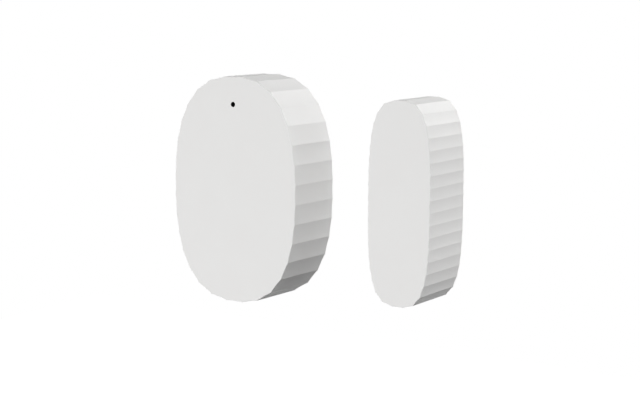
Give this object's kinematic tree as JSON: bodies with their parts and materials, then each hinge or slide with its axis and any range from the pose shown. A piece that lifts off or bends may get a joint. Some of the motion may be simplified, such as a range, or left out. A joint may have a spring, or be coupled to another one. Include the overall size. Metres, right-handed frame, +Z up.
{
  "type": "door and window sensor",
  "caption": "Contact sensor for a door or window: a fluted oval sensor unit with a pinhole, and a slimmer oval magnet unit beside it, both taped to a wall or frame.",
  "frame": {"origin": "middle of the sensor unit's adhesive pad, on the surface that it is stuck to", "axes": "+Y into the wall or frame, +Z up, +X from the sensor unit to the magnet unit"},
  "size_m": [0.0917, 0.0212, 0.0705],
  "materials": {
    "housing": "white ABS, moulded with a fine satin texture",
    "base": "white ABS, moulded, satin",
    "tray": "natural white ABS, moulded",
    "adhesive_foam": "acrylic foam tape",
    "dark_foam": "soft closed-cell foam",
    "clear_plastic": "clear acrylic, polished",
    "board": "glass-epoxy board with a green solder mask",
    "screw_steel": "steel, zinc plated",
    "cell_can": "dry cell in a plain metallic wrapper",
    "contact_metal": "spring steel, nickel plated",
    "lead_metal": "iron-nickel wire, tinned",
    "switch_plastic": "black nylon, moulded",
    "switch_frame": "stamped tinned steel",
    "button_plastic": "black acetal, moulded",
    "light_plastic": "white lamp body",
    "lens_epoxy": "clear epoxy",
    "reed_glass": "sealed glass tube",
    "radio_board": "glass-epoxy board with a blue solder mask",
    "shield_tin": "tinned steel",
    "capacitor_can": "aluminium can",
    "chip_plastic": "black epoxy",
    "chip_ceramic": "fired ceramic",
    "magnet": "sintered magnet, nickel plated"
  },
  "bodies": {
    "wall_base": {"base_plate": "base", "wall_adhesive": "adhesive_foam", "circuit_board": "board", "tray_screws": "screw_steel", "battery_tray": "tray", "battery_cell_left": "cell_can", "battery_cell_right": "cell_can", "battery_spring_left": "contact_metal", "battery_spring_right": "contact_metal", "bridge_contact": "contact_metal", "negative_contact": "contact_metal", "positive_contact": "contact_metal", "pairing_switch_body": "switch_plastic", "pairing_switch_frame": "switch_frame", "pairing_switch_legs": "lead_metal", "light_base": "light_plastic", "light_lens": "lens_epoxy", "tamper_switch_body": "switch_plastic", "reed_glass": "reed_glass", "reed_fixed_blade": "lead_metal", "reed_upper_lead": "lead_metal", "radio_board": "radio_board", "radio_shield": "shield_tin", "storage_capacitor": "capacitor_can", "regulator": "chip_plastic", "crystal": "shield_tin", "chip_resistors": "chip_plastic", "chip_capacitors": "chip_ceramic"},
    "cover": {"front_cover": "housing", "cell_pad": "dark_foam", "light_guide": "clear_plastic"},
    "pairing_button": {"pairing_button": "button_plastic"},
    "tamper_button": {"tamper_button": "button_plastic"},
    "reed_blade": {"reed_moving_blade": "lead_metal"},
    "magnet_unit": {"magnet_base": "base", "magnet_adhesive": "adhesive_foam", "bar_magnet": "magnet", "magnet_foam": "dark_foam", "magnet_clamp": "tray", "clamp_screws": "screw_steel"},
    "magnet_cover": {"magnet_cover": "housing"}
  },
  "joints": [
    {"name": "cover_pull", "type": "slide", "parent": "wall_base", "child": "cover", "axis": [0, -1, 0], "range_m": [0, 0.04]},
    {"name": "tamper_rise", "type": "slide", "parent": "wall_base", "child": "tamper_button", "axis": [0, -1, 0], "range_m": [0, 0.0008]},
    {"name": "pairing_press", "type": "slide", "parent": "wall_base", "child": "pairing_button", "axis": [0, 1, 0], "range_m": [0, 0.00025], "stiffness_N_per_m": 4000},
    {"name": "magnet_slide", "type": "slide", "parent": "wall_base", "child": "magnet_unit", "axis": [1, 0, 0], "range_m": [0, 0.08]},
    {"name": "magnet_cover_pull", "type": "slide", "parent": "magnet_unit", "child": "magnet_cover", "axis": [0, -1, 0], "range_m": [0, 0.03]},
    {"name": "reed_blade_open", "type": "hinge", "parent": "wall_base", "child": "reed_blade", "pos_m": [0.01572, -0.00585, 0.00455], "axis": [0, 1, 0], "range_deg": [0, 1.5]}
  ],
  "couplings": [
    {"joint": "tamper_rise", "follows": "cover_pull", "ratio": 0.02},
    {"joint": "reed_blade_open", "follows": "magnet_slide", "rad_per_m": 0.3272}
  ]
}
